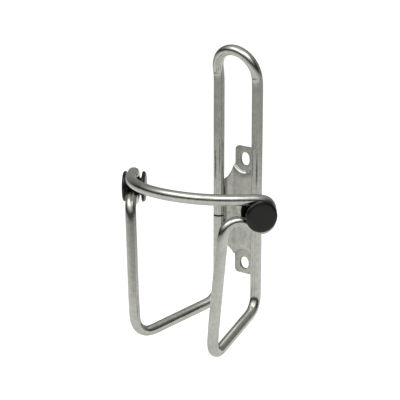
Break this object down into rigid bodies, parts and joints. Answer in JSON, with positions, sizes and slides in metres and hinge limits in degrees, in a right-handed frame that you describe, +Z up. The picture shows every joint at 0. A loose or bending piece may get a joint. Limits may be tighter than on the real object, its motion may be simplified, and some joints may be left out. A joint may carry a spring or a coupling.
{
  "type": "water bottle cage",
  "caption": "Bent-tube bottle cage: twin rails with a slotted mounting plate, splayed legs, a front hoop and a round plastic plug in each side loop.",
  "frame": {"origin": "on the mounting plane, midway between the two bolt slots", "axes": "+Z up along the bottle, +Y out of the mounting plane towards the bicycle frame, +X to the right when looking along +Y"},
  "size_m": [0.112, 0.0791, 0.1686],
  "materials": {
    "satin_tube": "satin, lightly drawn along the tube",
    "bare_pin": "bare turned",
    "pressed_sheet": "tumbled satin",
    "weld_metal": "rippled bead",
    "black_plastic": "fine moulded grain"
  },
  "bodies": {
    "root": {"frame_tube": "satin_tube", "tube_seam_pin": "bare_pin", "mounting_plate": "pressed_sheet", "weld_upper_left": "weld_metal", "weld_lower_left": "weld_metal", "weld_upper_right": "weld_metal", "weld_lower_right": "weld_metal", "plug_outer_left": "black_plastic", "plug_inner_left": "black_plastic", "plug_outer_right": "black_plastic", "plug_inner_right": "black_plastic"}
  },
  "joints": []
}
